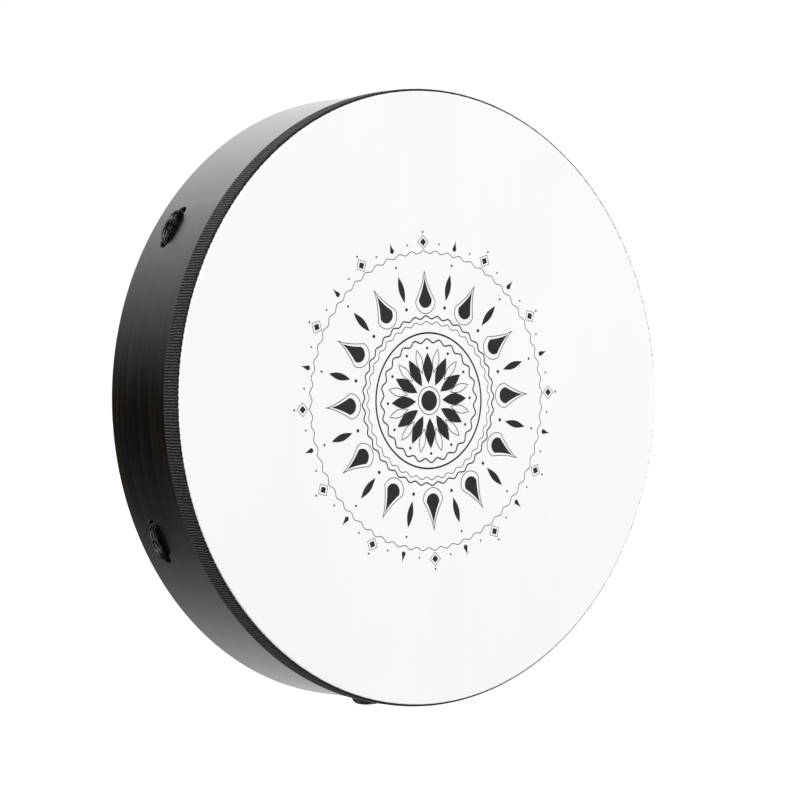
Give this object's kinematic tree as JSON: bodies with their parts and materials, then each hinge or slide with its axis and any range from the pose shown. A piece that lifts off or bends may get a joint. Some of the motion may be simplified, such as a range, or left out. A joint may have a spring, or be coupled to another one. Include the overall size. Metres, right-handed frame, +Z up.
{
  "type": "ocean drum",
  "caption": "Hand-held ocean drum: bent wood shell, printed head bound with ribbon, clear inner film, loose steel beads between them, and a laced cord grip with a centre ring.",
  "frame": {"origin": "centre of the grip ring, in the plane of the twelve cord holes and on the drum's axis", "axes": "the drum stands upright as it is held: -Y out of the printed head, +Y out of the open back, +Z up, +X to the right when the head is seen from the front"},
  "size_m": [0.4087, 0.0781, 0.4152],
  "materials": {
    "stained_wood": "dark stained bent plywood, satin lacquer",
    "drumhead": "opaque white synthetic skin with a dark print",
    "ribbon": "black grosgrain ribbon",
    "clear_film": "clear polyester film",
    "hoop_wood": "dark stained wood",
    "brads": "plain steel",
    "ring_steel": "nickel-plated steel",
    "seizing_thread": "black waxed thread, wound",
    "cord": "black braided cord",
    "bead_steel": "polished steel balls"
  },
  "bodies": {
    "drum": {"shell": "stained_wood", "front_head": "drumhead", "edge_ribbon": "ribbon", "rear_film": "clear_film", "film_hoop": "hoop_wood", "hoop_brads": "brads", "grip_ring": "ring_steel", "cord_seizings": "seizing_thread", "grip_cord_1": "cord", "grip_cord_2": "cord", "grip_cord_3": "cord", "grip_cord_4": "cord", "grip_cord_5": "cord", "grip_cord_6": "cord"},
    "beads_1": {"bead_row_1": "bead_steel"},
    "beads_2": {"bead_row_2": "bead_steel"},
    "beads_3": {"bead_row_3": "bead_steel"}
  },
  "joints": [
    {"name": "bead_row_1_roll", "type": "hinge", "parent": "drum", "child": "beads_1", "pos_m": [0, -0.0356, 0], "axis": [0, 1, 0], "continuous": true},
    {"name": "bead_row_2_roll", "type": "hinge", "parent": "drum", "child": "beads_2", "pos_m": [0, -0.0356, 0], "axis": [0, 1, 0], "continuous": true},
    {"name": "bead_row_3_roll", "type": "hinge", "parent": "drum", "child": "beads_3", "pos_m": [0, -0.0356, 0], "axis": [0, 1, 0], "continuous": true}
  ]
}
